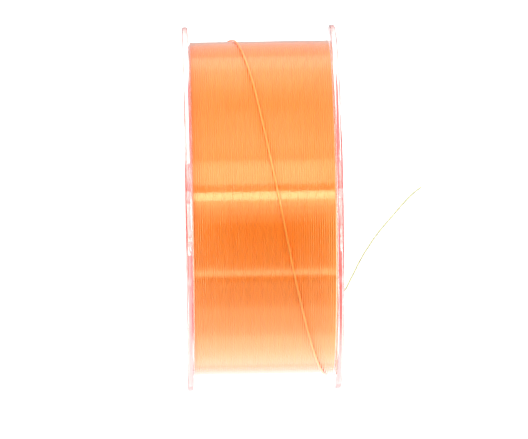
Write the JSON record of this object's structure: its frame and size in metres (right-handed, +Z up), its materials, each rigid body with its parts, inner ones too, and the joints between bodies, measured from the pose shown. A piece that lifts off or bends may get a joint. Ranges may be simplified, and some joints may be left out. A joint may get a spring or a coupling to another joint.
{
  "type": "fishing line spool",
  "caption": "Round clear plastic spool standing on its rims, full of evenly wound orange fishing line, with a crossing last turn and a short free end.",
  "frame": {"origin": "the centre of the spool, on its axis and midway between its two outer faces", "axes": "+X along the spool's axis, towards the flange that the line's end comes through; +Z up, with both rims standing on the ground; -Y is the front"},
  "size_m": [0.0678, 0.1, 0.1],
  "materials": {
    "clear_plastic": "clear, polished, faintly pink",
    "drum_plastic": "translucent, as moulded",
    "label_paper": "satin print without text",
    "tape_film": "satin adhesive film",
    "orange_nylon": "glossy drawn nylon"
  },
  "bodies": {
    "root": {"left_flange": "clear_plastic", "right_flange": "clear_plastic", "drum_tube": "drum_plastic", "arbor_tube": "drum_plastic", "left_label": "label_paper", "right_label": "label_paper", "line_start_tape": "tape_film", "line_winding": "orange_nylon", "line_last_turn": "orange_nylon", "line_tail": "orange_nylon"}
  },
  "joints": []
}
